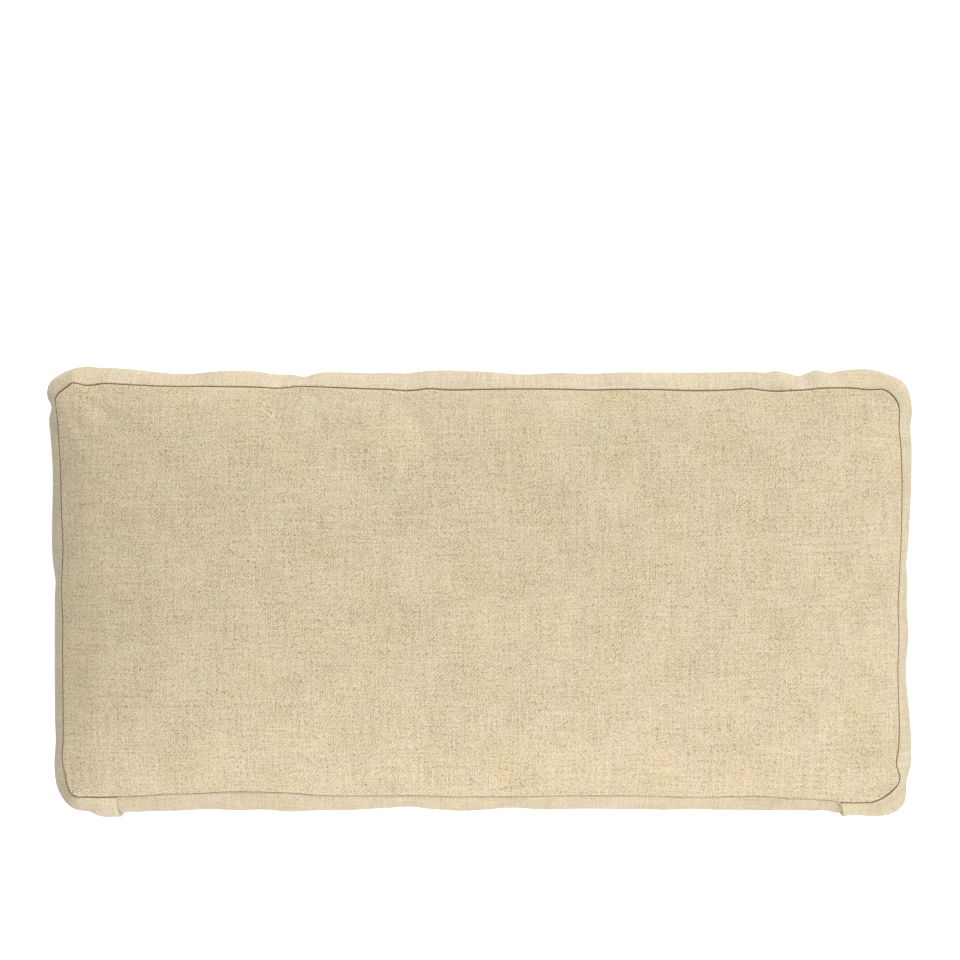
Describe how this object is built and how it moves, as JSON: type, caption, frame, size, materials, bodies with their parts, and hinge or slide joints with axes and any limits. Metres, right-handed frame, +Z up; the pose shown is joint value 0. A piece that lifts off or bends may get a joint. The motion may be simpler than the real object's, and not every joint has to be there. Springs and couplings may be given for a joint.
{
  "type": "rectangular boxed throw pillow",
  "caption": "Rectangular throw pillow in cream slubbed linen, with crowned front and back panels, a swelling boxing strip and a separate base strip, lying on its back.",
  "frame": {"origin": "on the surface that the pillow lies on, under the middle of its bounding box", "axes": "+X along the length, +Y towards the long side without the base strip, +Z up through the thickness to the front panel"},
  "size_m": [0.6416, 0.334, 0.128],
  "materials": {
    "panel_linen": "chunky slubbed plain weave in cream and beige linen, matt, slightly mottled",
    "strip_linen": "the same cream linen, cut along its length, matt"
  },
  "bodies": {
    "root": {"cushion": "panel_linen", "boxing_strip": "strip_linen", "base_strip": "strip_linen"}
  },
  "joints": []
}
